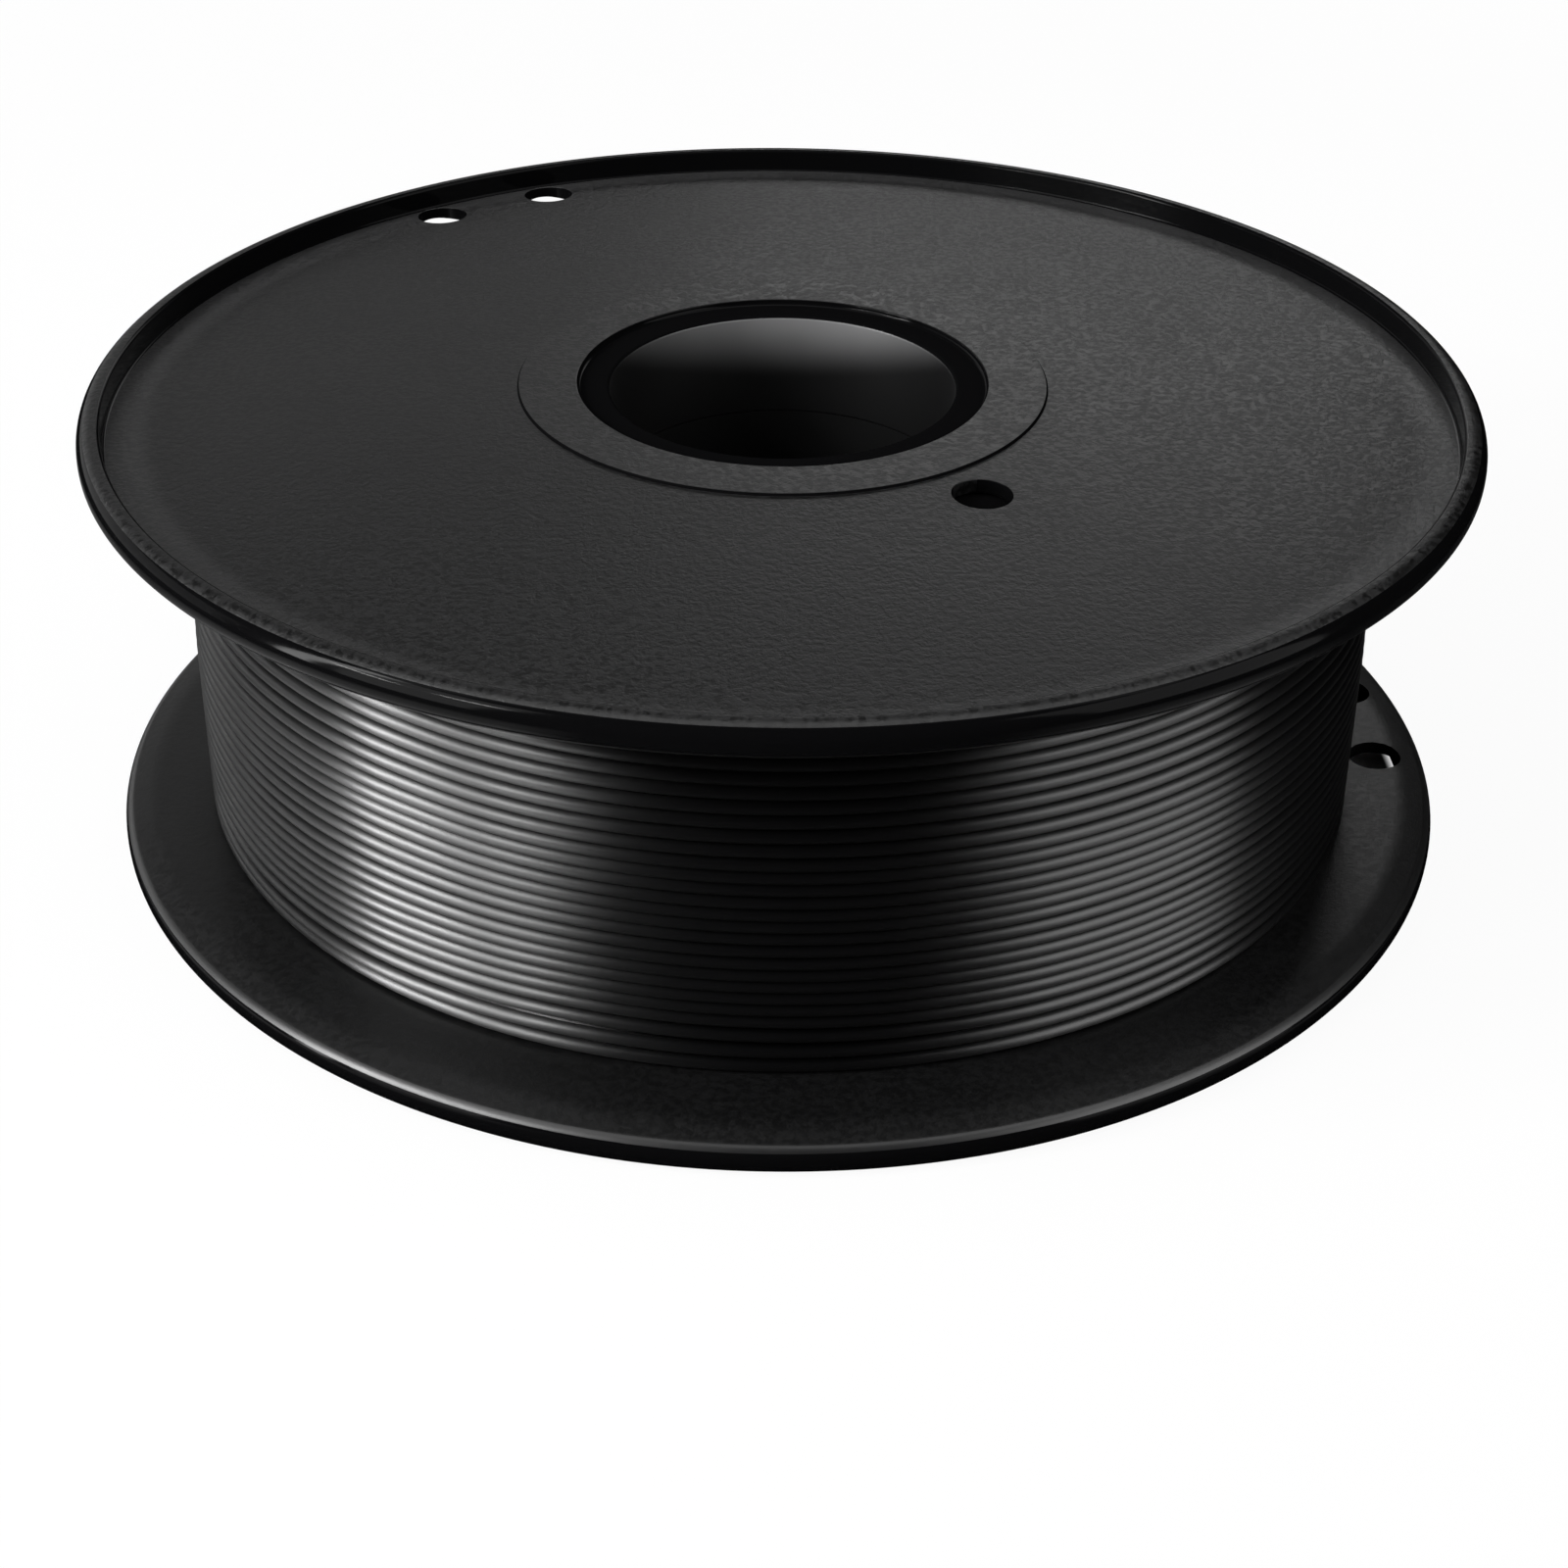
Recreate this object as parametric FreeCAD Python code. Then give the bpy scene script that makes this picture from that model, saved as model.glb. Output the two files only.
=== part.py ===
import FreeCAD
import Part
import math
import os

# A full filament spool, lying on one flange. Lengths are in millimetres and angles in degrees.
# +Z is the spool's axis and z = 0 is the plane that the lower rim stands on.
# A flange is drawn as a turned section: radius, and depth below its own outer plane.

# Overall size
flange_radius = 100.0
spool_width = 66.4

# Flange: raised rim, thin coned web, flat boss round the bore
rim_band = 3.4
rim_round = 2.5
rim_side_depth = 3.1
rim_corner_round = 0.5
rim_depth = 3.6
rim_inner_edge_round = 0.5
rim_foot_round = 0.4
web_wall = 2.1
flank_angle = 29.0
flank_foot_round = 17.0
boss_radius = 38.0
boss_depth = 0.4
boss_step = 0.4
boss_slope_run = 0.25
mouth_radius = 29.6
mouth_round = 0.6
ledge_step = 0.9
bore_radius = 25.0
bore_edge_round = 0.5

# Holes in the web: two by the rim that park the filament's free end, one by the barrel for its first turn
park_hole_radius = 4.0
park_hole_to_rim = 0.3
park_hole_spacing_angle = 12.4
anchor_hole_radius = 4.15
anchor_hole_to_barrel = 0.85
anchor_hole_angle = 175.4
lower_flange_turn = 3.9
upper_flange_turn = 122.0

# Hub: winding barrel, bore sleeve and the ribs between them, with a socket at each end for a flange's collar
barrel_radius = 40.0
barrel_wall = 2.4
barrel_seat_margin = 1.0
collar_wall = 2.5
collar_depth = 16.9
collar_end_round = 0.3
socket_wall = 2.0
sleeve_wall = 2.4
sleeve_step_slope = 2.0
socket_end_gap = 0.5
fit_clearance = 0.15
bead_height = 0.35
bead_half_width = 0.8
bead_to_collar_end = 4.0
spigot_wall = 2.0
spigot_height = 3.0
rib_count = 8
rib_thickness = 2.0
rib_end_gap = 0.5

# Filament: one length wound in layers, drawn as a core of inner layers and one outer layer of turns
filament_diameter = 1.75
winding_radius = 85.0
winding_clearance = 0.3
core_end_round = 1.0
outer_turns = 24
arcs_per_turn = 4
section_sides = 6
dive_bend_radius = 3.5
dive_straight = filament_diameter
pocket_clearance = 0.4
gap_samples_per_turn = 120
least_gap_wanted = 0.4

# Worked-out places on the flange's section
boss_top = boss_depth
ledge_top = boss_top + ledge_step
face_start_radius = boss_radius + boss_slope_run
face_start_depth = boss_top + boss_step
rim_inner_radius = flange_radius - rim_band
face_slope = (rim_depth - face_start_depth) / (rim_inner_radius - face_start_radius)
barrel_seat_radius = barrel_radius + barrel_seat_margin
collar_radius = bore_radius + collar_wall
socket_radius = collar_radius + fit_clearance
spigot_radius = barrel_radius - barrel_wall - fit_clearance


def face_depth(radius):
    """Depth of the web's outer face at a radius."""
    return face_start_depth + face_slope * (radius - face_start_radius)


def inner_depth(radius):
    """Depth of the web's inner face, which the filament lies against."""
    return face_depth(radius) + web_wall


seat_depth = inner_depth(barrel_seat_radius)


def point(radius, depth):
    return FreeCAD.Vector(radius, 0, depth)


def rounded_outline(corners):
    """A closed outline in the XZ plane. Each corner is (radius, depth, rounding)."""
    edges = []
    count = len(corners)
    ends = []
    for i in range(count):
        here = point(*corners[i][:2])
        before = point(*corners[i - 1][:2]) - here
        after = point(*corners[(i + 1) % count][:2]) - here
        rounding = corners[i][2]
        if rounding == 0:
            ends.append((here, here))
            continue
        half_angle = before.getAngle(after) / 2
        reach = rounding / math.tan(half_angle)
        start = here + before.normalize() * reach
        finish = here + after.normalize() * reach
        inward = (before + after).normalize()
        middle = here + inward * (rounding / math.sin(half_angle) - rounding)
        edges.append(Part.Arc(start, middle, finish).toShape())
        ends.append((start, finish))
    for i in range(count):
        leave = ends[i][1]
        arrive = ends[(i + 1) % count][0]
        if leave.distanceToPoint(arrive) > 1e-6:
            edges.append(Part.makeLine(leave, arrive))
    return Part.Wire(Part.__sortEdges__(edges))


def turned(corners):
    """A solid of revolution about the spool's axis."""
    face = Part.Face(rounded_outline(corners))
    return face.revolve(FreeCAD.Vector(0, 0, 0), FreeCAD.Vector(0, 0, 1), 360)


def web_hole(radius, centre_radius, angle):
    """A round cutter through the web, at an angle about the axis."""
    turn = math.radians(angle)
    base = FreeCAD.Vector(centre_radius * math.cos(turn), centre_radius * math.sin(turn), boss_top)
    return Part.makeCylinder(radius, seat_depth + rim_depth, base)


def flange():
    """One flange with its outer plane at z = 0: both flanges are the same moulding."""
    flank_slope = math.tan(math.radians(flank_angle))
    flank_rise = inner_depth(flange_radius) - rim_side_depth
    flank_top_radius = flange_radius - flank_rise / (flank_slope + face_slope)
    spigot_inner = spigot_radius - spigot_wall
    bead_depth = collar_depth - bead_to_collar_end
    body = turned([
        (bore_radius, collar_depth, collar_end_round),
        (bore_radius, ledge_top, bore_edge_round),
        (mouth_radius, ledge_top, 0),
        (mouth_radius, boss_top, mouth_round),
        (boss_radius, boss_top, 0),
        (face_start_radius, face_start_depth, 0),
        (rim_inner_radius, rim_depth, rim_foot_round),
        (rim_inner_radius, 0, rim_inner_edge_round),
        (flange_radius, 0, rim_round),
        (flange_radius, rim_side_depth, rim_corner_round),
        (flank_top_radius, inner_depth(flank_top_radius), flank_foot_round),
        (barrel_seat_radius, seat_depth, 0),
        (spigot_radius, seat_depth, 0),
        (spigot_radius, seat_depth + spigot_height, 0),
        (spigot_inner, seat_depth + spigot_height, 0),
        (spigot_inner, seat_depth, 0),
        (collar_radius, seat_depth, 0),
        (collar_radius, bead_depth - bead_half_width, 0),
        (collar_radius + bead_height, bead_depth, 0),
        (collar_radius, bead_depth + bead_half_width, 0),
        (collar_radius, collar_depth, collar_end_round),
    ])
    park_radius = rim_inner_radius - park_hole_to_rim - park_hole_radius
    anchor_radius = barrel_radius + anchor_hole_to_barrel + anchor_hole_radius
    holes = [
        web_hole(park_hole_radius, park_radius, -park_hole_spacing_angle / 2),
        web_hole(park_hole_radius, park_radius, park_hole_spacing_angle / 2),
        web_hole(anchor_hole_radius, anchor_radius, anchor_hole_angle),
    ]
    return body.cut(holes)


def placed_lower(shape):
    shape.rotate(FreeCAD.Vector(0, 0, 0), FreeCAD.Vector(0, 0, 1), lower_flange_turn)
    return shape


def placed_upper(shape):
    """The second moulding is turned over, set at the spool's width and turned round the axis."""
    shape.rotate(FreeCAD.Vector(0, 0, 0), FreeCAD.Vector(1, 0, 0), 180)
    shape.translate(FreeCAD.Vector(0, 0, spool_width))
    shape.rotate(FreeCAD.Vector(0, 0, 0), FreeCAD.Vector(0, 0, 1), upper_flange_turn)
    return shape


def mirrored_corners(corners):
    """Corners up one half of a section, then the same corners down the other half."""
    other = [(radius, spool_width - depth, rounding) for radius, depth, rounding in reversed(corners)]
    return corners + other


def hub():
    """Barrel, bore sleeve and ribs in one moulding, the same at both ends."""
    barrel_inner = barrel_radius - barrel_wall
    barrel = turned(mirrored_corners([(barrel_inner, seat_depth, 0)]) +
                    mirrored_corners([(barrel_radius, seat_depth, 0)])[::-1])
    socket_outer = socket_radius + socket_wall
    sleeve_outer = bore_radius + sleeve_wall
    socket_end = seat_depth + socket_end_gap
    bead_depth = collar_depth - bead_to_collar_end
    groove_half = bead_half_width + fit_clearance
    inner_side = mirrored_corners([
        (socket_radius, socket_end, 0),
        (socket_radius, bead_depth - groove_half, 0),
        (socket_radius + bead_height, bead_depth, 0),
        (socket_radius, bead_depth + groove_half, 0),
        (socket_radius, collar_depth, 0),
        (bore_radius, collar_depth, 0),
    ])
    outer_side = mirrored_corners([
        (socket_outer, socket_end, 0),
        (socket_outer, collar_depth, 0),
        (sleeve_outer, collar_depth + sleeve_step_slope, 0),
    ])
    sleeve = turned(inner_side + outer_side[::-1])
    ribs = []
    rib_bottom = seat_depth + spigot_height + rib_end_gap
    rib_start = (bore_radius + sleeve_outer) / 2
    rib_length = barrel_radius - barrel_wall / 2 - rib_start
    inside_socket = socket_radius + socket_wall / 2
    upper_socket_start = FreeCAD.Vector(0, 0, spool_width - collar_depth)
    kept_clear = [
        Part.makeCylinder(inside_socket, collar_depth),
        Part.makeCylinder(inside_socket, collar_depth, upper_socket_start),
    ]
    for i in range(rib_count):
        rib = Part.makeBox(rib_length, rib_thickness, spool_width - 2 * rib_bottom,
                           FreeCAD.Vector(rib_start, -rib_thickness / 2, rib_bottom))
        rib = rib.cut(kept_clear)
        rib.rotate(FreeCAD.Vector(0, 0, 0), FreeCAD.Vector(0, 0, 1), 360 * i / rib_count)
        ribs.append(rib)
    return barrel.fuse([sleeve] + ribs).removeSplitter()


def helix_point(angle):
    """A point on the outer layer's centre line, which winds down anticlockwise from its top turn."""
    radius = winding_radius - filament_diameter / 2
    height = top_turn_height - turn_pitch * angle / (2 * math.pi)
    return FreeCAD.Vector(radius * math.cos(angle), radius * math.sin(angle), height)


def helix_direction(angle):
    radius = winding_radius - filament_diameter / 2
    along = FreeCAD.Vector(-radius * math.sin(angle), radius * math.cos(angle), -turn_pitch / (2 * math.pi))
    return along.normalize()


def biarc(start, start_direction, finish, finish_direction):
    """Two arcs that meet smoothly, between two points with known directions."""
    chord = finish - start
    together = start_direction + finish_direction
    spread = 2 * (1 - start_direction.dot(finish_direction))
    along = chord.dot(together)
    reach = (math.sqrt(along * along + spread * chord.dot(chord)) - along) / spread
    first_corner = start + start_direction * reach
    second_corner = finish - finish_direction * reach
    meeting = (first_corner + second_corner) / 2
    return [corner_arc(start, first_corner, meeting), corner_arc(meeting, second_corner, finish)]


def corner_arc(start, corner, finish):
    """The arc that is tangent to both legs of a corner whose legs are equally long."""
    halfway = (start + finish) / 2
    rise = corner - halfway
    half_chord = start.distanceToPoint(halfway)
    sagitta = half_chord * math.tan(math.atan2(rise.Length, half_chord) / 2)
    return Part.Arc(start, halfway + rise.normalize() * sagitta, finish).toShape()


def dive(angle, leaving):
    """The filament's bend and short straight between the outer layer and its pocket in the core."""
    on_layer = helix_point(angle)
    outward = FreeCAD.Vector(on_layer.x, on_layer.y, 0).normalize()
    along = helix_direction(angle)
    if leaving:
        along = along * -1
    corner = on_layer - along * dive_bend_radius
    bend_end = corner - outward * dive_bend_radius
    seat = bend_end - outward * dive_straight
    bend = corner_arc(bend_end, corner, on_layer)
    return seat, [Part.makeLine(seat, bend_end), bend]


def outer_layer_path():
    """Seat, straight, bend, all the turns, bend, straight, seat: one unbroken line."""
    first_seat, first_edges = dive(0, False)
    last_angle = outer_turns * 2 * math.pi
    last_seat, last_edges = dive(last_angle, True)
    edges = list(first_edges)
    step = 2 * math.pi / arcs_per_turn
    for i in range(outer_turns * arcs_per_turn):
        here, there = i * step, (i + 1) * step
        edges += biarc(helix_point(here), helix_direction(here), helix_point(there), helix_direction(there))
    edges += reversed(last_edges)
    return Part.Wire(edges), first_seat, last_seat


def many_sided_section(centre, direction, upright):
    """The filament's round section, as a polygon with a corner pointing along upright."""
    sideways = direction.cross(upright).normalize()
    corners = []
    for i in range(section_sides + 1):
        turn = 2 * math.pi * (i % section_sides) / section_sides
        offset = upright * math.cos(turn) + sideways * math.sin(turn)
        corners.append(centre + offset * (filament_diameter / 2))
    return Part.makePolygon(corners)


def filament_outer_layer():
    path, first_seat, last_seat = outer_layer_path()
    outward = FreeCAD.Vector(first_seat.x, first_seat.y, 0).normalize()
    across = helix_direction(0)
    tube = path.makePipeShell([many_sided_section(first_seat, outward, across)], True, False)
    section_area = section_sides / 2 * math.sin(2 * math.pi / section_sides) * (filament_diameter / 2) ** 2
    print("outer layer: length %.1f mm, volume %.1f mm3, section times length %.1f mm3"
          % (path.Length, tube.Volume, section_area * path.Length))
    return tube


def least_gap_to_itself():
    """Measured on points of the centre line: the nearest pair that lies over half a turn apart."""
    count = outer_turns * gap_samples_per_turn
    step = 2 * math.pi / gap_samples_per_turn
    points = [helix_point(i * step) for i in range(count + 1)]
    nearest = spool_width
    for i in range(count + 1):
        first = i + gap_samples_per_turn // 2
        last = min(i + 3 * gap_samples_per_turn // 2, count)
        for k in range(first, last + 1):
            nearest = min(nearest, points[i].distanceToPoint(points[k]))
    return nearest - filament_diameter


def pocket(seat, angle, leaving):
    """The room that an end of the outer layer needs where it dives between the turns beneath."""
    half = filament_diameter / 2 + pocket_clearance
    length = half + dive_bend_radius + filament_diameter
    depth = winding_radius - math.hypot(seat.x, seat.y)
    side = -length + half if leaving else -half
    box = Part.makeBox(depth, length, 2 * half, FreeCAD.Vector(math.hypot(seat.x, seat.y), side, seat.z - half))
    box.rotate(FreeCAD.Vector(0, 0, 0), FreeCAD.Vector(0, 0, 1), math.degrees(angle))
    return box


def filament_inner_layers():
    """The layers beneath the outer one, as one solid ring between barrel, flanges and outer layer."""
    inner = barrel_radius + winding_clearance
    outer = winding_radius - filament_diameter - winding_clearance
    low_inner = seat_depth + winding_clearance
    low_start = barrel_seat_radius
    low_outer = inner_depth(outer) + winding_clearance
    ring = turned([
        (inner, low_inner, 0),
        (low_start, low_inner, 0),
        (outer, low_outer, core_end_round),
        (outer, spool_width - low_outer, core_end_round),
        (low_start, spool_width - low_inner, 0),
        (inner, spool_width - low_inner, 0),
    ])
    path, first_seat, last_seat = outer_layer_path()
    first_angle = math.atan2(first_seat.y, first_seat.x)
    last_seat_angle = math.atan2(last_seat.y, last_seat.x)
    return ring.cut([pocket(first_seat, first_angle, False), pocket(last_seat, last_seat_angle, True)])


# The turns share the width that the two webs leave at their own radius
turn_room_depth = inner_depth(winding_radius) + winding_clearance + filament_diameter / 2
top_turn_height = spool_width - turn_room_depth
turn_pitch = (spool_width - 2 * turn_room_depth) / outer_turns

os.makedirs("parts", exist_ok=True)
nodes = {
    "lower_flange": placed_lower(flange()),
    "upper_flange": placed_upper(flange()),
    "hub": hub(),
    "filament_inner_layers": filament_inner_layers(),
    "filament_outer_layer": filament_outer_layer(),
}
gap = least_gap_to_itself()
print("outer layer: least gap to itself %.2f mm, wanted over %.1f mm" % (gap, least_gap_wanted))
for name, shape in nodes.items():
    solids = len(shape.Solids)
    print("%s: %d solid, valid %s, volume %.0f mm3" % (name, solids, shape.isValid(), shape.Volume))
    shape.exportStep("parts/%s.step" % name)
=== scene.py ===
import math
import bpy
from mathutils import Matrix, Vector


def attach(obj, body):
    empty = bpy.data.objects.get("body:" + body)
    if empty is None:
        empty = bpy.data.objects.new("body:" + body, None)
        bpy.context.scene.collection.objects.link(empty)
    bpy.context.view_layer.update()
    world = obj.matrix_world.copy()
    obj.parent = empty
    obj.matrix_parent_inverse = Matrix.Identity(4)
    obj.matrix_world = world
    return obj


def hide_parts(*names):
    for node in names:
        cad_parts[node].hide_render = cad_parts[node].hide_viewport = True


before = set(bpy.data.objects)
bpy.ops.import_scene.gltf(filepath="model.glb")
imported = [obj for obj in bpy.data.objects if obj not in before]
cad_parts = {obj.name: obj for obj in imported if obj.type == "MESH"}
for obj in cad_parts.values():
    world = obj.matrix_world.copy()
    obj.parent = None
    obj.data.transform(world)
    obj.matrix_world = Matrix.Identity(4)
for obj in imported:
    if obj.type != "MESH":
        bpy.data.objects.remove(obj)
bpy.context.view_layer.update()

mm = 0.001
plasticIor = 1.5

# the camera stands where the photograph was taken from, and its angles are in degrees
camera = {
    "place": (0.0, -0.37478, 0.22968),
    "lens": 64.33,
    "sensorWidth": 36,
    "nearest": 0.01,
    "tiltDown": 31.845,
    "turn": -0.12,
    "roll": 0.59,
}


def addCamera():
    bpy.ops.object.camera_add(location=camera["place"])
    obj = bpy.context.object
    obj.name = "photoCamera"
    obj.data.sensor_width = camera["sensorWidth"]
    obj.data.lens = camera["lens"]
    obj.data.clip_start = camera["nearest"]
    aim = Matrix.Rotation(math.radians(camera["turn"]), 4, "Z")
    aim = aim @ Matrix.Rotation(math.radians(90 - camera["tiltDown"]), 4, "X")
    aim = aim @ Matrix.Rotation(math.radians(camera["roll"]), 4, "Z")
    obj.matrix_world = Matrix.Translation(camera["place"]) @ aim
    bpy.context.scene.camera = obj


# a socket wrapped so that Python expressions on it add Math nodes
class Signal:
    def __init__(self, tree, socket):
        self.tree = tree
        self.socket = socket

    def maths(self, operation, *values):
        node = self.tree.nodes.new("ShaderNodeMath")
        node.operation = operation
        for slot, value in zip(node.inputs, values):
            feed(self.tree, slot, value)
        return Signal(self.tree, node.outputs[0])

    def __add__(self, other):
        return self.maths("ADD", self, other)

    def __radd__(self, other):
        return self.maths("ADD", other, self)

    def __sub__(self, other):
        return self.maths("SUBTRACT", self, other)

    def __rsub__(self, other):
        return self.maths("SUBTRACT", other, self)

    def __mul__(self, other):
        return self.maths("MULTIPLY", self, other)

    def __rmul__(self, other):
        return self.maths("MULTIPLY", other, self)

    def __truediv__(self, other):
        return self.maths("DIVIDE", self, other)

    def root(self):
        return self.maths("SQRT", self)

    def withoutSign(self):
        return self.maths("ABSOLUTE", self)


def feed(tree, slot, value):
    if isinstance(value, Signal):
        tree.links.new(value.socket, slot)
    elif isinstance(value, bpy.types.NodeSocket):
        tree.links.new(value, slot)
    else:
        slot.default_value = value


# a material under construction
class Shader:
    def __init__(self, name):
        self.material = bpy.data.materials.new(name)
        self.material.use_nodes = True
        self.tree = self.material.node_tree
        self.tree.nodes.clear()

    def node(self, kind, settings=None, inputs=None):
        made = self.tree.nodes.new(kind)
        for key, value in (settings or {}).items():
            setattr(made, key, value)
        for key, value in (inputs or {}).items():
            feed(self.tree, made.inputs[key], value)
        return made

    def signal(self, node, output=0):
        return Signal(self.tree, node.outputs[output])

    def ramp(self, value, stops):
        made = self.tree.nodes.new("ShaderNodeValToRGB")
        points = made.color_ramp.elements
        while len(points) < len(stops):
            points.new(0.5)
        for point, (place, colour) in zip(points, stops):
            point.position = place
            point.color = colour
        feed(self.tree, made.inputs[0], value)
        return self.signal(made)

    def place(self):
        return self.node("ShaderNodeTexCoord").outputs["Object"]

    def axes(self, place):
        parts = self.node("ShaderNodeSeparateXYZ", None, {0: place})
        return [self.signal(parts, axis) for axis in "XYZ"]

    def noise(self, place, size, detail=2.0, roughness=0.5):
        made = self.node("ShaderNodeTexNoise", None, {
            "Vector": place,
            "Scale": 1 / size,
            "Detail": detail,
            "Roughness": roughness,
        })
        return self.signal(made)

    def between(self, value, low, high):
        made = self.node("ShaderNodeMapRange", {"interpolation_type": "SMOOTHSTEP"},
                         {"Value": value, "From Min": low, "From Max": high})
        return self.signal(made, "Result")

    def mix(self, share, low, high):
        made = self.node("ShaderNodeMix", {"data_type": "RGBA"}, {0: share, 6: low, 7: high})
        return made.outputs[2]

    def bump(self, height, distance):
        made = self.node("ShaderNodeBump", None, {"Height": height, "Distance": distance, "Strength": 1.0})
        return made.outputs[0]

    def blend(self, share, low, high):
        return self.node("ShaderNodeMixShader", None, {0: share, 1: low.outputs[0], 2: high.outputs[0]})

    def finish(self, surface):
        out = self.tree.nodes.new("ShaderNodeOutputMaterial")
        self.tree.links.new(surface.outputs[0], out.inputs["Surface"])
        return self.material


# spark-eroded plastic, for the webs, the bore and the hub
texturedPlastic = {
    "dark": (0.0003, 0.0003, 0.0003, 1),
    "light": (0.0054, 0.0054, 0.0057, 1),
    # the pale colour is painted light: a pool of light on the bore's wall below its mouth, reaching deeper on the
    # +Y side, and a pale band on the web along the rim's foot, where the rim's shadow falls
    "paintedLight": (0.19, 0.19, 0.192, 1),
    "boreLightReach": (-12.5 * mm, -1.0 * mm),       # depths between which the painted light on the bore's wall fades
    "boreLightLean": 0.5,                            # how much deeper the painted light reaches towards +Y, on the far wall
    "boreLightSpan": (0.8, 0.4),                     # evenly, and by the cloud
    "footLightShare": 0.12,                          # painted light: how pale the web is painted along the foot of its rim, where the rim's shadow falls
    "footSpan": (0.7, 0.6),
    "footStarts": (89 * mm, 94 * mm),
    "footEnds": (96.4 * mm, 96.7 * mm),
    "boreEdge": (25.1 * mm, 25.3 * mm),         # the bore itself has no grain
    "innerSide": (3.9 * mm, 4.3 * mm),          # deeper than this the web faces the winding
    "innerCalm": 0.6,                           # how much fainter the grain is there
    "cloudSize": 16 * mm,
    "grainSize": 0.95 * mm,
    "grainHeight": 0.030 * mm,
    "grainSpan": (0.35, 0.65),
    "roughness": 0.42,
    "cloudRoughness": 0.06,
    "grainRoughness": 0.16,
}


def makeTexturedPlastic():
    look = texturedPlastic
    sh = Shader("texturedPlastic")
    place = sh.place()
    x, y, z = sh.axes(place)
    radius = (x * x + y * y).root()
    middle = flange["spoolWidth"] / 2 * mm
    depth = middle - (z - middle).withoutSign()
    outside = sh.between(radius, *look["boreEdge"])
    inner = sh.between(depth, *look["innerSide"])
    cloud = sh.noise(place, look["cloudSize"], 3)
    grain = sh.between(sh.noise(place, look["grainSize"], 3, 0.6), *look["grainSpan"])
    grain = 0.5 + (grain - 0.5) * outside * (1 - look["innerCalm"] * inner)
    even, clouded = look["footSpan"]
    # painted light along the foot of the rim, where its shadow falls on the web
    foot = sh.between(radius, *look["footStarts"]) * (1 - sh.between(radius, *look["footEnds"]))
    foot = foot * (1 - inner) * (even + clouded * cloud)
    # painted light on the bore's wall, deeper on the +Y side, plus the painted light along the rim's foot
    even, clouded = look["boreLightSpan"]
    paintedLight = 1 - sh.between(depth - look["boreLightLean"] * y, *look["boreLightReach"])
    paintedLight = paintedLight * (1 - outside) * (even + clouded * cloud) + look["footLightShare"] * foot
    plain = sh.mix(grain, look["dark"], look["light"])
    roughness = look["roughness"] + look["cloudRoughness"] * (cloud - 0.5) + look["grainRoughness"] * (grain - 0.5)
    surface = sh.node("ShaderNodeBsdfPrincipled", None, {
        "Base Color": sh.mix(paintedLight, plain, look["paintedLight"]),
        "Roughness": roughness,
        "Normal": sh.bump(grain, look["grainHeight"]),
        "IOR": plasticIor,
    })
    return sh.finish(surface)


# the smooth finishes of the flanges
polishedPlastic = {
    "colour": (0.0024, 0.0024, 0.0026, 1),
    "roughness": 0.10,
    "waveSize": 5 * mm,
    "waveHeight": 0.004 * mm,
    "rubSize": 1.2 * mm,
    "rubRoughness": 0.10,
    "specular": 0.045,
}
satinPlastic = dict(polishedPlastic, colour=(0.0040, 0.0040, 0.0042, 1), roughness=0.37, specular=0.8)
recessPlastic = dict(polishedPlastic, colour=(0.0030, 0.0030, 0.0032, 1), roughness=0.45, specular=0.0)


def makeSmoothPlastic(name, look):
    sh = Shader(name)
    place = sh.place()
    wave = sh.noise(place, look["waveSize"])
    rub = sh.noise(place, look["rubSize"], 4, 0.65)
    surface = sh.node("ShaderNodeBsdfPrincipled", None, {
        "Base Color": look["colour"],
        "Roughness": look["roughness"] + look["rubRoughness"] * (rub - 0.5),
        "Normal": sh.bump(wave, look["waveHeight"]),
        "IOR": plasticIor,
        "Specular IOR Level": look["specular"],
    })
    return sh.finish(surface)


# the extruder's fine lines along the filament spread a highlight across it
filamentPlastic = {
    "colour": (0.0015, 0.0015, 0.0017, 1),
    "roughness": 0.36,
    "specular": 1.0,
    "dieLines": 0.9,
    "dieLineTurn": 0.25,
    "streakStretch": (60, 60, 2500),
    "streakHeight": 0.006 * mm,
    "streakRoughness": 0.05,
    "patchSize": 9 * mm,
    "patchRoughness": 0.08,
}


def makeFilamentPlastic():
    look = filamentPlastic
    sh = Shader("filamentPlastic")
    place = sh.place()
    stretched = sh.node("ShaderNodeMapping", None, {"Vector": place, "Scale": look["streakStretch"]})
    streak = sh.noise(stretched.outputs[0], 1.0)
    patch = sh.noise(place, look["patchSize"])
    roughness = look["roughness"] + look["patchRoughness"] * (patch - 0.5)
    surface = sh.node("ShaderNodeBsdfPrincipled", None, {
        "Base Color": look["colour"],
        "Roughness": roughness + look["streakRoughness"] * (streak - 0.5),
        "Normal": sh.bump(streak, look["streakHeight"]),
        "IOR": plasticIor,
        "Specular IOR Level": look["specular"],
        "Anisotropic": look["dieLines"],
        "Anisotropic Rotation": look["dieLineTurn"],
    })
    return sh.finish(surface)


def deselectAll():
    if bpy.context.mode != "OBJECT":
        bpy.ops.object.mode_set(mode="OBJECT")
    bpy.ops.object.select_all(action="DESELECT")


degreesPerStep = 9              # of a rounded corner
mergeDistance = 0.002 * mm


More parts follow.
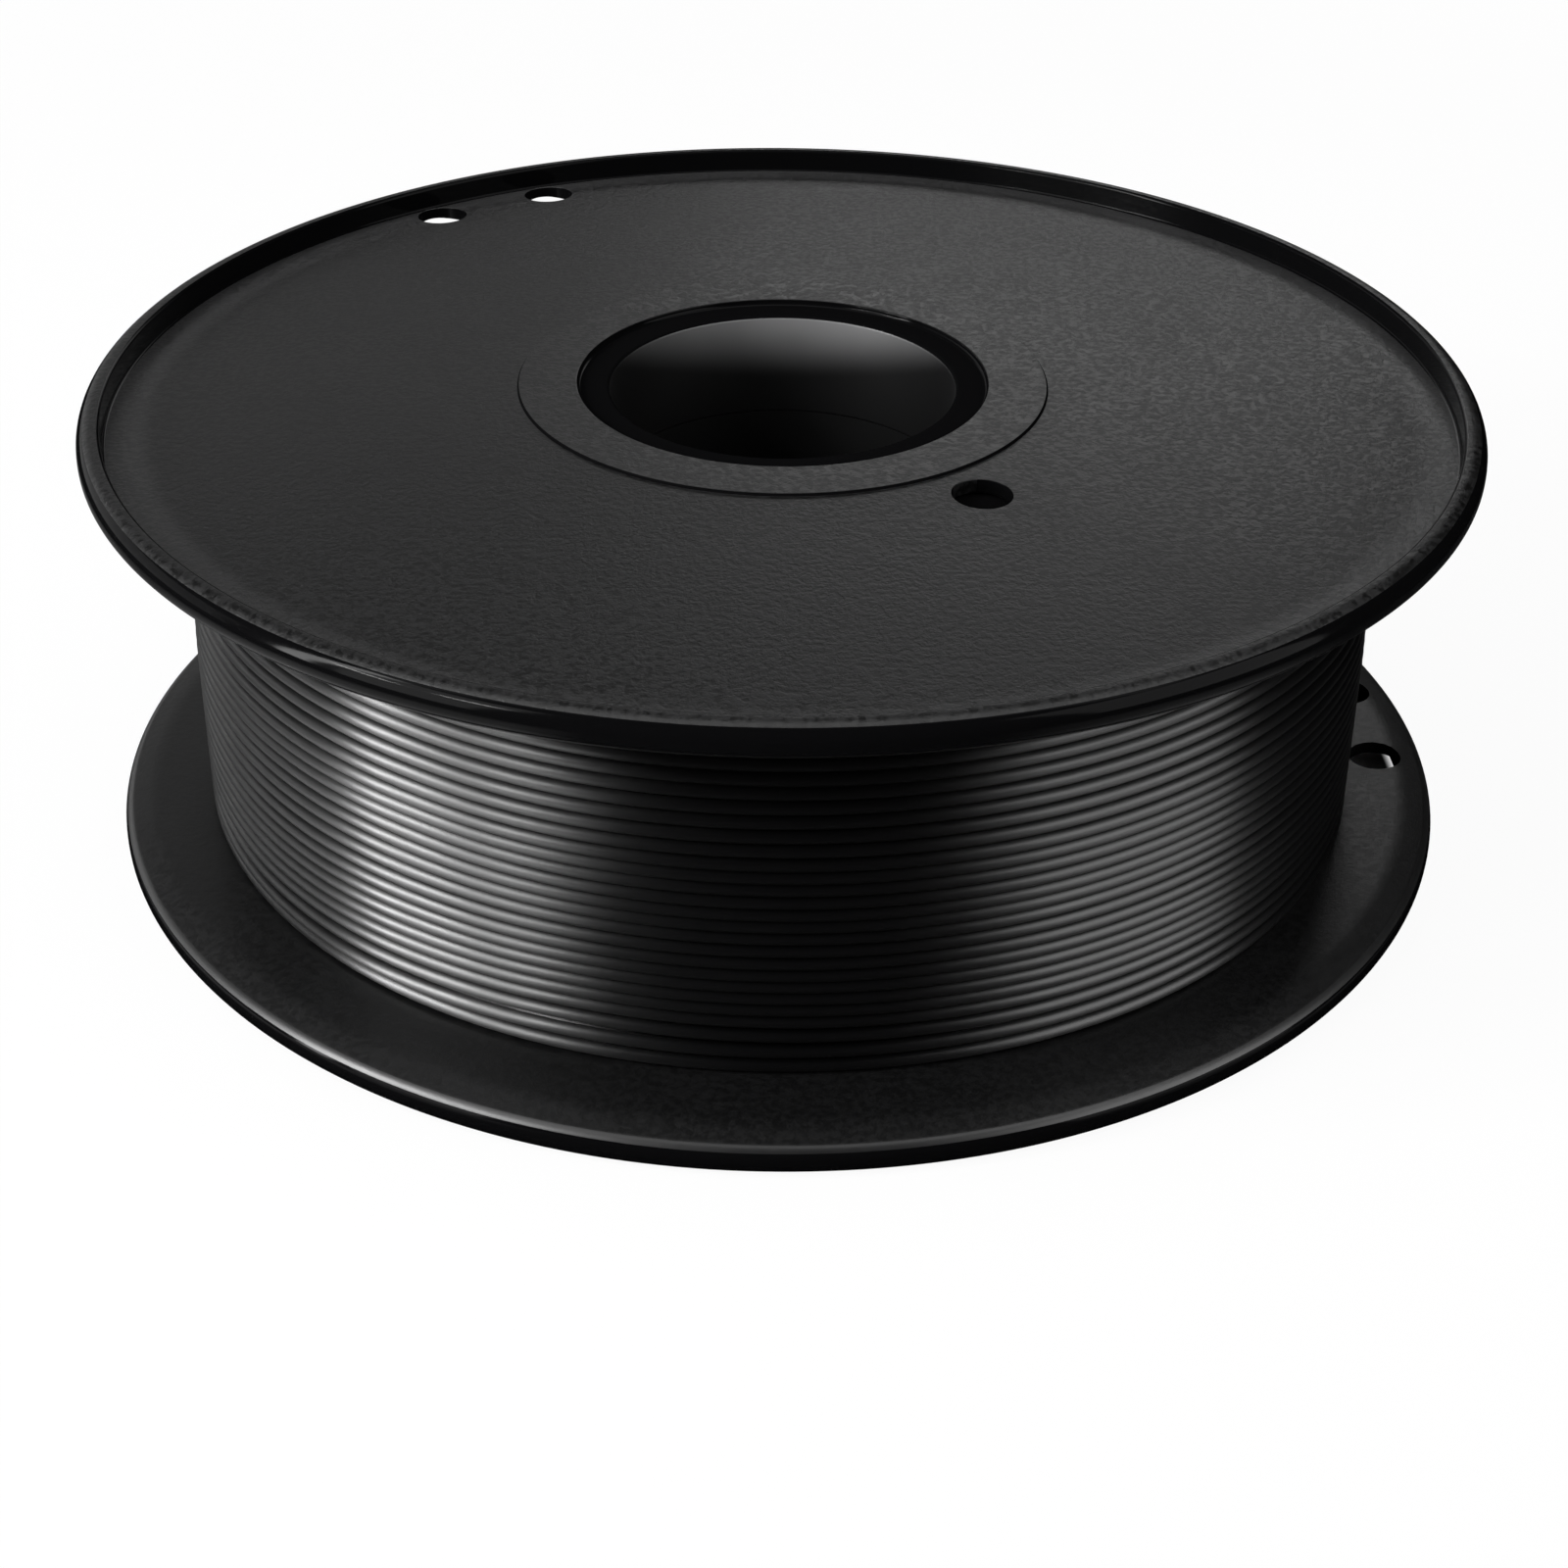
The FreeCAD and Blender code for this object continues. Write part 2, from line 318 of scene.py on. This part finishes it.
# each corner is its radius, its depth and its rounding, in millimetres
def roundedProfile(corners):
    points = []
    count = len(corners)
    for i in range(count):
        here = Vector(corners[i][:2])
        rounding = corners[i][2]
        toBefore = (Vector(corners[i - 1][:2]) - here).normalized()
        toAfter = (Vector(corners[(i + 1) % count][:2]) - here).normalized()
        if rounding == 0:
            points.append(here)
            continue
        half = toBefore.angle(toAfter) / 2
        middle = here + (toBefore + toAfter).normalized() * (rounding / math.sin(half))
        start = here + toBefore * (rounding / math.tan(half)) - middle
        finish = here + toAfter * (rounding / math.tan(half)) - middle
        turn = start.angle_signed(finish)
        steps = max(2, round(abs(math.degrees(turn)) / degreesPerStep))
        for k in range(steps + 1):
            angle = -turn * k / steps
            c, s = math.cos(angle), math.sin(angle)
            points.append(middle + Vector((start.x * c - start.y * s, start.x * s + start.y * c)))
    return points


def spunPiece(name, corners, steps):
    deselectAll()
    points = [Vector((p.x * mm, 0, p.y * mm)) for p in roundedProfile(corners)]
    bpy.ops.mesh.primitive_plane_add(size=0.1 * mm, location=(0, 0, 0))
    piece = bpy.context.object
    piece.name = name
    bpy.ops.object.mode_set(mode="EDIT")
    bpy.ops.mesh.select_all(action="SELECT")
    bpy.ops.mesh.merge(type="CENTER")
    bpy.ops.transform.translate(value=points[0])
    for before, after in zip(points, points[1:]):
        bpy.ops.mesh.extrude_region_move(TRANSFORM_OT_translate={"value": after - before})
    bpy.ops.mesh.select_all(action="DESELECT")
    bpy.ops.object.mode_set(mode="OBJECT")
    ends = (0, len(piece.data.vertices) - 1)
    for vertex in piece.data.vertices:
        vertex.select = vertex.index in ends
    bpy.ops.object.mode_set(mode="EDIT")
    bpy.ops.mesh.edge_face_add()
    bpy.ops.mesh.select_all(action="SELECT")
    bpy.ops.mesh.spin(steps=steps, angle=2 * math.pi, center=(0, 0, 0), axis=(0, 0, 1))
    bpy.ops.mesh.select_all(action="SELECT")
    bpy.ops.mesh.remove_doubles(threshold=mergeDistance)
    bpy.ops.mesh.normals_make_consistent(inside=False)
    bpy.ops.object.mode_set(mode="OBJECT")
    return piece


def cutAway(piece, cutter):
    tool = piece.modifiers.new("cut", "BOOLEAN")
    tool.object = cutter
    tool.operation = "DIFFERENCE"
    tool.solver = "EXACT"
    deselectAll()
    bpy.context.view_layer.objects.active = piece
    piece.select_set(True)
    bpy.ops.object.modifier_apply(modifier=tool.name)
    bpy.data.objects.remove(cutter)


def smoothShading(piece, angle=30, weighted=False):
    deselectAll()
    bpy.context.view_layer.objects.active = piece
    piece.select_set(True)
    bpy.ops.object.shade_smooth_by_angle(angle=math.radians(angle))
    if weighted:                                # keeps the web flat round its holes
        even = piece.modifiers.new("evenNormals", "WEIGHTED_NORMAL")
        even.keep_sharp = True
        bpy.ops.object.modifier_apply(modifier=even.name)


def applyPlace(piece):
    deselectAll()
    bpy.context.view_layer.objects.active = piece
    piece.select_set(True)
    bpy.ops.object.transform_apply(location=True, rotation=True, scale=True)


def paint(piece, materials, chooser):
    for material in materials:
        piece.data.materials.append(material)
    for face in piece.data.polygons:
        face.material_index = chooser(face)


def keep(piece, slot, *nodes):
    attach(piece, "root")
    if nodes:
        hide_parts(*nodes)


# both flanges are one moulding, in millimetres and degrees, with depths from the crest of the rim
flange = {
    "outerRadius": 100.0,
    "rimInnerRadius": 96.6,
    "rimRound": 2.5,
    "edgeDepth": 4.35,
    "edgeRound": 1.9,
    "edgeStart": (95.3, 5.45),
    "edgeBlend": 8.0,
    "rimDepth": 3.6,
    "webWall": 2.1,
    "bossRadius": 38.0,
    "bossDepth": 0.4,
    "bossStep": 0.4,
    "stepWidth": 0.25,
    "mouthRadius": 29.6,
    "ledgeDepth": 1.3,
    "boreRadius": 25.0,
    "collarRadius": 27.5,
    "collarDepth": 16.9,
    "beadFromEnd": 4.0,
    "beadHeight": 0.35,
    "beadHalfWidth": 0.8,
    "spigotRadius": 37.45,
    "spigotWall": 2.0,
    "spigotHeight": 3.0,
    "seatRadius": 41.0,
    "parkHoleRadius": 4.0,
    "parkHoleAngles": (-6.2, 6.2),
    "parkHoleCentre": 92.3,
    "anchorHoleRadius": 4.15,
    "anchorHoleAngle": 175.4,
    "anchorHoleCentre": 45.0,
    "holeEdge": 0.12,
    "holeSides": 72,
    "webRings": (50, 62, 76, 86),               # more rings on the web's straight faces
    "spoolWidth": 66.4,
    "lowerTurn": 3.9,
    "upperTurn": 122.0,
    "steps": 288,
}


def webStart():
    return flange["bossRadius"] + flange["stepWidth"], flange["bossDepth"] + flange["bossStep"]


def webSlope():
    startRadius, startDepth = webStart()
    return (flange["rimDepth"] - startDepth) / (flange["rimInnerRadius"] - startRadius)


def faceDepth(radius):
    startRadius, startDepth = webStart()
    return startDepth + webSlope() * (radius - startRadius)


def flangeCorners():
    f = flange
    seatDepth = faceDepth(f["seatRadius"]) + f["webWall"]
    spigotInner = f["spigotRadius"] - f["spigotWall"]
    spigotEnd = seatDepth + f["spigotHeight"]
    bead = f["collarDepth"] - f["beadFromEnd"]
    outerRings = [(radius, faceDepth(radius), 0) for radius in f["webRings"]]
    innerRings = [(radius, faceDepth(radius) + f["webWall"], 0) for radius in reversed(f["webRings"])]
    return [
        (f["boreRadius"], f["collarDepth"], 0.3),
        (f["boreRadius"], f["ledgeDepth"], 0.5),
        (f["mouthRadius"], f["ledgeDepth"], 0.6),
        (f["mouthRadius"], f["bossDepth"], 0.25),
        (f["bossRadius"], f["bossDepth"], 0.12),
        (*webStart(), 0.12),
        *outerRings,
        (f["rimInnerRadius"], f["rimDepth"], 0.4),
        (f["rimInnerRadius"], 0, 0.5),
        (f["outerRadius"], 0, f["rimRound"]),
        (f["outerRadius"], f["edgeDepth"], f["edgeRound"]),
        (*f["edgeStart"], f["edgeBlend"]),
        *innerRings,
        (f["seatRadius"], seatDepth, 0.2),
        (f["spigotRadius"], seatDepth, 0.2),
        (f["spigotRadius"], spigotEnd, 0.3),
        (spigotInner, spigotEnd, 0.3),
        (spigotInner, seatDepth, 0.2),
        (f["collarRadius"], seatDepth, 0.2),
        (f["collarRadius"], bead - f["beadHalfWidth"], 0),
        (f["collarRadius"] + f["beadHeight"], bead, 0.2),
        (f["collarRadius"], bead + f["beadHalfWidth"], 0),
        (f["collarRadius"], f["collarDepth"], 0.3),
    ]


# a round cutter with flared ends, so that the hole's two edges come out rounded
def holeCutter(radius, centre, angle):
    deselectAll()
    wall = flange["webWall"]
    edge = flange["holeEdge"]
    beyond = 2                                  # how far it stands past both faces of the web
    bpy.ops.mesh.primitive_cylinder_add(vertices=flange["holeSides"], radius=(radius + edge) * mm,
                                        depth=beyond * mm, end_fill_type="NGON", location=(0, 0, 0))
    cutter = bpy.context.object
    bpy.ops.object.mode_set(mode="EDIT")
    bpy.ops.mesh.select_all(action="SELECT")
    bpy.ops.transform.translate(value=(0, 0, -beyond / 2 * mm))       # its top is now at the outer face
    bpy.ops.mesh.select_mode(type="FACE")
    bpy.ops.mesh.select_all(action="DESELECT")
    bpy.ops.object.mode_set(mode="OBJECT")
    bend, flare = edge * 0.55, edge * 0.25      # halfway round a rounded edge
    levels = ((bend, radius + flare), (edge, radius), (wall - edge, radius), (wall - bend, radius + flare),
              (wall, radius + edge), (wall + beyond, radius + edge))
    height = 0
    wide = radius + edge
    for face in cutter.data.polygons:
        face.select = face.normal.z > 0.9
    bpy.ops.object.mode_set(mode="EDIT")
    for level, size in levels:
        bpy.ops.mesh.extrude_region_move(TRANSFORM_OT_translate={"value": (0, 0, (level - height) * mm)})
        bpy.ops.transform.resize(value=(size / wide, size / wide, 1))
        height, wide = level, size
    bpy.ops.mesh.select_all(action="SELECT")
    bpy.ops.mesh.normals_make_consistent(inside=False)
    bpy.ops.mesh.select_mode(type="VERT")
    bpy.ops.object.mode_set(mode="OBJECT")
    cutter.matrix_world = (Matrix.Rotation(math.radians(angle), 4, "Z")
                           @ Matrix.Translation((centre * mm, 0, faceDepth(centre) * mm))
                           @ Matrix.Rotation(-math.atan(webSlope()), 4, "Y"))
    bpy.context.view_layer.update()
    return cutter


# the finish that a face of the flange gets, with margins in millimetres
def flangeFinish(face):
    f = flange
    radius = math.hypot(face.center.x, face.center.y) / mm
    depth = face.center.z / mm
    level = abs(face.normal.z)                  # 0 on an upright wall, 1 on a flat one
    rounded = radius > f["rimInnerRadius"] + 0.7 and 0.5 < level < 0.945
    if rounded and depth > 3:
        return "satin"
    if rounded:
        return "textured" if level > 0.8 else "polished"
    if f["boreRadius"] + 0.05 < radius < f["mouthRadius"] + 0.1 and depth < 3:
        return "polished" if depth < f["ledgeDepth"] - 0.05 else "recess"
    if 0 < radius - f["bossRadius"] < f["stepWidth"] and depth < 1:
        return "recess"
    upright = level < 0.7
    if radius > f["rimInnerRadius"] - 0.35 and depth < f["edgeDepth"]:
        foot = radius < f["rimInnerRadius"] + 0.4 and depth < f["rimDepth"]
        return "polished" if upright or foot else "textured"
    return "polished" if upright and radius > f["seatRadius"] + 0.5 else "textured"


def addFlanges(finishes):
    f = flange
    names = list(finishes)
    first = spunPiece("lowerFlange", flangeCorners(), f["steps"])
    for angle in f["parkHoleAngles"]:
        cutAway(first, holeCutter(f["parkHoleRadius"], f["parkHoleCentre"], angle))
    cutAway(first, holeCutter(f["anchorHoleRadius"], f["anchorHoleCentre"], f["anchorHoleAngle"]))
    paint(first, finishes.values(), lambda face: names.index(flangeFinish(face)))
    second = first.copy()
    second.data = first.data.copy()
    second.name = "upperFlange"
    bpy.context.scene.collection.objects.link(second)
    first.matrix_world = Matrix.Rotation(math.radians(f["lowerTurn"]), 4, "Z")
    second.matrix_world = (Matrix.Rotation(math.radians(f["upperTurn"]), 4, "Z")
                           @ Matrix.Translation((0, 0, f["spoolWidth"] * mm))
                           @ Matrix.Rotation(math.pi, 4, "X"))
    for piece, node in ((first, "lower_flange"), (second, "upper_flange")):
        applyPlace(piece)
        smoothShading(piece, 40, True)
        keep(piece, "flange_plastic", node)
        print("flange", piece.name, len(piece.data.polygons), "faces")


# the hub is the CAD moulding, merged so that its round walls shade smoothly
def addHub(textured):
    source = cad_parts["hub"]
    hub = source.copy()
    hub.data = source.data.copy()
    hub.name = "hubMoulding"
    for key in list(hub.keys()):
        del hub[key]
    hub.parent = None
    bpy.context.scene.collection.objects.link(hub)
    deselectAll()
    bpy.context.view_layer.objects.active = hub
    hub.select_set(True)
    bpy.ops.object.mode_set(mode="EDIT")
    bpy.ops.mesh.select_all(action="SELECT")
    bpy.ops.mesh.customdata_custom_splitnormals_clear()
    bpy.ops.mesh.remove_doubles(threshold=0.001 * mm)
    bpy.ops.object.mode_set(mode="OBJECT")
    hub.data.materials.clear()
    paint(hub, (textured,), lambda face: 0)
    smoothShading(hub, 30)
    keep(hub, "hub_plastic", "hub")
    print("hub", len(hub.data.polygons), "faces")


# the turn heights are those of the outer layer where it faces the camera, from the lowest up, in millimetres
winding = {
    "wire": 1.75,
    "outerRadius": 85.0,
    "turnHeights": (6.2, 8.4, 10.9, 13.1, 14.95, 16.75, 18.6, 20.4, 22.3, 24.3, 26.3, 28.15, 29.95, 31.8,
                    33.7, 35.5, 37.35, 39.4, 41.5, 43.65, 45.75, 47.9, 49.9, 51.95, 54.1, 56.1, 58.0, 59.95),
    "lowest": 6.05,
    "highest": 60.3,
    "tail": 150,                                # degrees that each end runs on beyond the front
    "dive": 0.06,                               # share of a turn in which an end goes under its neighbour
    "diveDepth": 1.9,
    "bulge": 0.2,                               # beyond the outer radius, all round
    "sideBulge": 1.7,                           # more of it at the two sides
    "sideBulgeLoss": 1.3,                       # less of that towards the top
    "sideBulgeFades": (28, 60),
    "stepsPerTurn": 150,
    "sides": 12,
}


def smoothStep(value, low, high):
    t = min(1, max(0, (value - low) / (high - low)))
    return t * t * (3 - 2 * t)


# the height of the filament after so many turns, from 0 where the lowest turn faces the camera, upwards
def turnHeight(turns):
    heights = winding["turnHeights"]
    last = len(heights) - 1
    if turns <= 0:
        return winding["lowest"] + (heights[0] - winding["lowest"]) * smoothStep(turns, -0.2, 0)
    if turns >= last:
        return heights[last] + (winding["highest"] - heights[last]) * smoothStep(turns, last, last + 0.2)
    k = int(turns)
    part = turns - k
    if k == 0:
        part = smoothStep(part, 0.05, 0.62)
    if k == last - 1:
        part = smoothStep(part, 0.38, 0.95)
    return heights[k] + (heights[k + 1] - heights[k]) * part


# the layer isn't laid quite level: it lifts and sags at the front left, and waves a little all round
def sway(turnAngle, height):
    left = smoothStep(math.cos(turnAngle + math.radians(62)), 0.70, 1.0)
    low = 1 - smoothStep(height, 8, 24)
    middle = smoothStep(height, 24, 33) * (1 - smoothStep(height, 47, 58))
    free = smoothStep(height, 6, 12) * (1 - smoothStep(height, 54, 60))      # 0 against the flanges
    lift = 0.75 * middle * free - 0.9 * low * smoothStep(height, 6.3, 9)
    wave = 0.10 * math.sin(2 * turnAngle + height * 0.13) + 0.07 * math.sin(3 * turnAngle - height * 0.31 + 1.0)
    return left * lift + wave * free


def tubeAlong(name, points, radius, sides):
    deselectAll()
    bpy.ops.mesh.primitive_circle_add(vertices=sides, radius=radius, location=(0, 0, 0))
    shape = bpy.context.object
    bpy.ops.object.convert(target="CURVE")
    line = bpy.data.curves.new(name, "CURVE")
    line.dimensions = "3D"
    line.twist_mode = "Z_UP"
    line.bevel_mode = "OBJECT"
    line.bevel_object = shape
    line.use_fill_caps = True
    spline = line.splines.new("POLY")
    spline.points.add(len(points) - 1)
    for spot, place in zip(spline.points, points):
        spot.co = (*place, 1)
    piece = bpy.data.objects.new(name, line)
    bpy.context.scene.collection.objects.link(piece)
    deselectAll()
    bpy.context.view_layer.objects.active = piece
    piece.select_set(True)
    bpy.ops.object.convert(target="MESH")
    piece = bpy.context.object
    bpy.data.objects.remove(shape)
    bpy.ops.object.mode_set(mode="EDIT")
    bpy.ops.mesh.select_all(action="SELECT")
    bpy.ops.mesh.normals_make_consistent(inside=False)
    bpy.ops.object.mode_set(mode="OBJECT")
    return piece


def addOuterLayer(filament):
    w = winding
    radius = w["outerRadius"] - w["wire"] / 2
    tail = w["tail"] / 360
    last = len(w["turnHeights"]) - 1
    steps = round((last + 2 * tail) * w["stepsPerTurn"])
    points = []
    for i in range(steps + 1):
        turns = last + tail - (last + 2 * tail) * i / steps
        angle = -turns * 2 * math.pi            # it goes down as it turns anticlockwise, seen from above
        height = turnHeight(turns)
        height += sway(angle, height)
        highEnd = smoothStep(turns, last + tail - w["dive"], last + tail)
        lowEnd = 1 - smoothStep(turns, -tail, w["dive"] - tail)
        aside = w["sideBulge"] - w["sideBulgeLoss"] * smoothStep(height, *w["sideBulgeFades"])
        across = radius + w["bulge"] + math.sin(angle) ** 2 * aside - w["diveDepth"] * (highEnd + lowEnd)
        points.append(Vector((across * math.sin(angle), -across * math.cos(angle), height)) * mm)
    piece = tubeAlong("outerWinding", points, w["wire"] / 2 * mm, w["sides"])
    paint(piece, (filament,), lambda face: 0)
    smoothShading(piece, 60)
    keep(piece, "filament", "filament_outer_layer")
    print("outer layer", len(piece.data.polygons), "faces")


# the layer below the outer one shows between its turns, and is plain towards the barrel
beneath = {
    "turns": 30,
    "drop": 1.72,                               # almost a wire deeper
    "endGap": 0.15,
    "innerRadius": 40.3,
    "seatRadius": 41.0,
    "seatGap": 0.3,
    "shoulder": 0.9,
    "turnAngles": (-68, -40, -12, 12, 40, 68),
    "dullInside": 1.2,
    "steps": 180,
}


def addInnerLayers(filament, recess):
    b = beneath
    wire = winding["wire"]
    width = flange["spoolWidth"]
    radius = winding["outerRadius"] - wire / 2 - b["drop"]
    seat = faceDepth(b["seatRadius"]) + flange["webWall"] + b["seatGap"]
    low = faceDepth(radius) + flange["webWall"] + b["endGap"]
    pitch = (width - 2 * low - wire) / (b["turns"] - 1)
    corners = [(b["innerRadius"], seat, 0), (b["seatRadius"], seat, 0), (radius - b["shoulder"], low, 0)]
    for k in range(b["turns"]):
        middle = low + wire / 2 + k * pitch
        for angle in b["turnAngles"]:
            a = math.radians(angle)
            corners.append((radius + wire / 2 * math.cos(a), middle + wire / 2 * math.sin(a), 0))
    corners += [(radius - b["shoulder"], width - low, 0), (b["seatRadius"], width - seat, 0),
                (b["innerRadius"], width - seat, 0)]
    dull = (radius - b["dullInside"]) * mm
    piece = spunPiece("innerWinding", corners, b["steps"])
    paint(piece, (filament, recess), lambda face: 1 if math.hypot(*face.center[:2]) < dull else 0)
    smoothShading(piece, 60)
    keep(piece, "filament", "filament_inner_layers")
    print("inner layers", len(piece.data.polygons), "faces")


# the floor and the backdrop are white to the camera, and what plastic mirrors of them are cards: each is an azimuth
# and a brightness, with dark ones in front and behind, and the spans are radii in metres
floorLook = {
    "cards": ((-180, 0.05), (-90, 0.12), (-74, 0.45), (-62, 0.9), (-50, 1.0), (-31, 1.0), (-22, 0.02),
              (24, 0.01), (36, 0.35), (46, 0.5), (58, 0.35), (68, 0.10), (76, 0.02), (180, 0.02)),
    "shadowShare": 0.06,                        # how much of the floor's own shade shows on its white
    "shadowEnds": (0.3, 0.7),
    "darkBeneath": (0.0955, 0.0975),
    "mirrorStarts": (0.105, 0.12),
    "mirrorEnds": (0.19, 0.26),
}
backdropLook = {
    "cards": ((-180, 0.0), (-145, 0.3), (-130, 0.6), (-90, 0.6), (-85, 0.0), (180, 0.0)),
    "shadowShare": 0.0,
    "shadowEnds": (0.3, 0.7),
    "darkBeneath": (0.9, 1.0),
    "mirrorStarts": (0.9, 1.0),
    "mirrorEnds": (2.0, 2.1),
}
studio = {
    "colour": (0.8, 0.8, 0.8, 1),
    "floorSize": 8,
    "backdropRadius": 1.3,
    "backdropHeight": 0.62,
    "backdropSides": 96,
    "backdropGap": (-88, 118),                  # azimuths
    "ambient": 0.015,
    "aim": (0, 0, 0.033),
}

# azimuth, elevation, distance, width, height and brightness
lamps = {
    "leftSoftbox": (-54, 23, 1.0, 0.40, 0.85, 4.4),
    "leftStrip": (-72.5, 23, 1.0, 0.11, 0.85, 28.0),
    "rightSoftbox": (64, 23, 1.0, 0.74, 0.85, 2.4),
    "overheadPanel": (0, 87, 1.0, 1.7, 0.55, 1.9),
    "backRightPanel": (170, 27, 1.0, 0.50, 0.12, 2.0),
    "backLeftPanel": (-165, 27, 1.0, 0.40, 0.10, 0.9),
    "backLamp": (165, 24, 0.33, 0.20, 0.06, 0.9),
    "keyLampNear": (-47, 32, 1.0, 0.16, 0.012, 230.0),
    "keyLampFar": (-66, 31, 1.0, 0.16, 0.012, 230.0),
}


def whiteBackground(name, look):
    sh = Shader(name)
    x, y = sh.axes(sh.place())[:2]
    radius = (x * x + y * y).root()
    azimuth = x.maths("ARCTAN2", x, y * -1) * (180 / math.pi)
    path = sh.node("ShaderNodeLightPath")
    own = sh.node("ShaderNodeBsdfDiffuse", None, {"Color": studio["colour"]})
    white = sh.node("ShaderNodeEmission", None, {"Strength": 1.0})
    dark = sh.node("ShaderNodeEmission", None, {"Strength": 0.0})
    both = sh.node("ShaderNodeAddShader", None, {0: own.outputs[0], 1: white.outputs[0]})
    direct, through = sh.signal(path, "Is Camera Ray"), sh.signal(path, "Is Transmission Ray")
    shade = look["shadowShare"] * (1 - sh.between(radius, *look["shadowEnds"]))
    seen = direct.maths("MAXIMUM", direct, through) * (1 - shade) * sh.between(radius, *look["darkBeneath"])
    ring = sh.between(radius, *look["mirrorStarts"]) * (1 - sh.between(radius, *look["mirrorEnds"]))
    stops = [((angle + 180) / 360, (level, level, level, 1)) for angle, level in look["cards"]]
    mirrored = sh.blend(ring * sh.ramp((azimuth + 180) / 360, stops), dark, both)
    return sh.finish(sh.blend(path.outputs["Is Glossy Ray"], sh.blend(seen, own, white), mirrored))


def areaLight(name, azimuth, elevation, distance, width, height, brightness):
    a, e = math.radians(azimuth), math.radians(elevation)
    away = Vector((math.sin(a) * math.cos(e), -math.cos(a) * math.cos(e), math.sin(e)))
    bpy.ops.object.light_add(type="AREA", location=Vector(studio["aim"]) + away * distance)
    lamp = bpy.context.object
    lamp.name = name
    lamp.data.shape = "RECTANGLE"
    lamp.data.size = width
    lamp.data.size_y = height
    lamp.data.energy = brightness * math.pi * width * height
    lamp.rotation_euler = away.to_track_quat("Z", "Y").to_euler()
    lamp.visible_camera = False


def addStudio():
    st = studio
    deselectAll()
    bpy.ops.mesh.primitive_plane_add(size=st["floorSize"], location=(0, 0, 0))
    floor = bpy.context.object
    floor.name = "studioFloor"
    floor.data.materials.append(whiteBackground("floorWhite", floorLook))
    deselectAll()
    bpy.ops.mesh.primitive_cylinder_add(vertices=st["backdropSides"], radius=st["backdropRadius"],
                                        depth=st["backdropHeight"], end_fill_type="NOTHING",
                                        location=(0, 0, st["backdropHeight"] / 2))
    wall = bpy.context.object
    wall.name = "studioBackdrop"
    bpy.ops.object.mode_set(mode="EDIT")
    bpy.ops.mesh.select_mode(type="FACE")
    bpy.ops.mesh.select_all(action="DESELECT")
    bpy.ops.object.mode_set(mode="OBJECT")
    low, high = st["backdropGap"]
    for face in wall.data.polygons:
        face.select = low < math.degrees(math.atan2(face.center.x, -face.center.y)) < high
    bpy.ops.object.mode_set(mode="EDIT")
    bpy.ops.mesh.delete(type="FACE")
    bpy.ops.object.mode_set(mode="OBJECT")
    wall.data.materials.append(whiteBackground("backdropWhite", backdropLook))
    for name, values in lamps.items():
        areaLight(name, *values)
    world = bpy.data.worlds.new("studioWorld")
    bpy.context.scene.world = world
    world.use_nodes = True
    tree = world.node_tree
    tree.nodes.clear()
    path = tree.nodes.new("ShaderNodeLightPath")
    ambient = tree.nodes.new("ShaderNodeBackground")
    ambient.inputs["Strength"].default_value = studio["ambient"]
    white = tree.nodes.new("ShaderNodeBackground")
    white.inputs["Color"].default_value = (1, 1, 1, 1)
    mix = tree.nodes.new("ShaderNodeMixShader")
    out = tree.nodes.new("ShaderNodeOutputWorld")
    tree.links.new(path.outputs["Is Camera Ray"], mix.inputs[0])
    tree.links.new(ambient.outputs[0], mix.inputs[1])
    tree.links.new(white.outputs[0], mix.inputs[2])
    tree.links.new(mix.outputs[0], out.inputs["Surface"])
    bpy.context.scene.view_settings.view_transform = "Standard"
    print("studio ready")


addCamera()
textured = makeTexturedPlastic()
polished = makeSmoothPlastic("polishedPlastic", polishedPlastic)
recess = makeSmoothPlastic("recessPlastic", recessPlastic)
satin = makeSmoothPlastic("satinPlastic", satinPlastic)
filament = makeFilamentPlastic()
print("materials ready")
addFlanges({"textured": textured, "polished": polished, "recess": recess, "satin": satin})
addHub(textured)
addOuterLayer(filament)
addInnerLayers(filament, recess)
addStudio()
